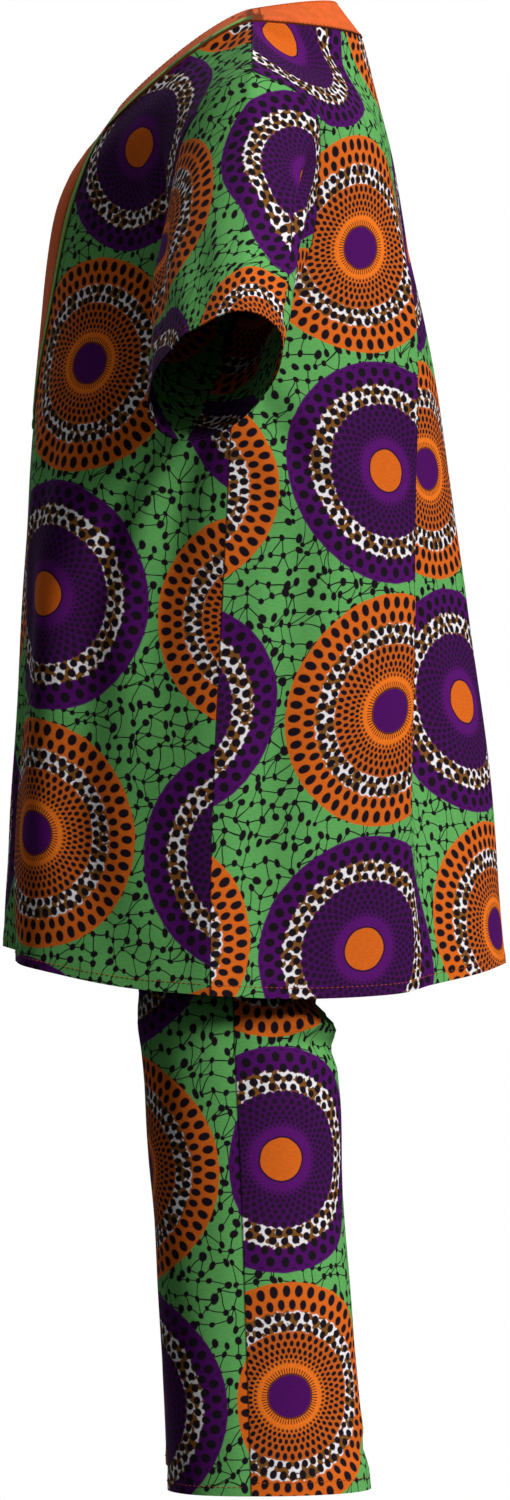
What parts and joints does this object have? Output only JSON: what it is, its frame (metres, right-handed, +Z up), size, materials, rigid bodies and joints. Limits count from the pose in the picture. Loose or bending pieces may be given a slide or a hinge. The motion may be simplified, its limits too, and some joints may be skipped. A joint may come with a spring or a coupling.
{
  "type": "tunic and trouser set",
  "caption": "Short-sleeved printed cotton tunic with a plain neck band and framed placket, worn over straight trousers, filled out as worn and hollow.",
  "frame": {"origin": "middle of the neck, level with the tops of the shoulders, where the wearer holds the set up", "axes": "+Z up, the front of the set faces -Y, the wearer's left is +X"},
  "size_m": [0.887, 0.4716, 1.3857],
  "materials": {
    "printed_cotton": "matte",
    "plain_orange": "matte",
    "plain_green": "matte"
  },
  "bodies": {
    "root": {"tunic_front": "printed_cotton", "tunic_back": "printed_cotton", "sleeve_left": "printed_cotton", "sleeve_right": "printed_cotton", "neck_band_front": "plain_orange", "neck_band_back": "plain_orange", "neck_trim_left": "plain_green", "neck_trim_right": "plain_green", "placket": "plain_orange", "placket_trim_left": "plain_green", "placket_trim_right": "plain_green", "placket_trim_bottom": "plain_green", "trouser_front_left": "printed_cotton", "trouser_front_right": "printed_cotton", "trouser_back_left": "printed_cotton", "trouser_back_right": "printed_cotton", "waistband": "printed_cotton"}
  },
  "joints": []
}
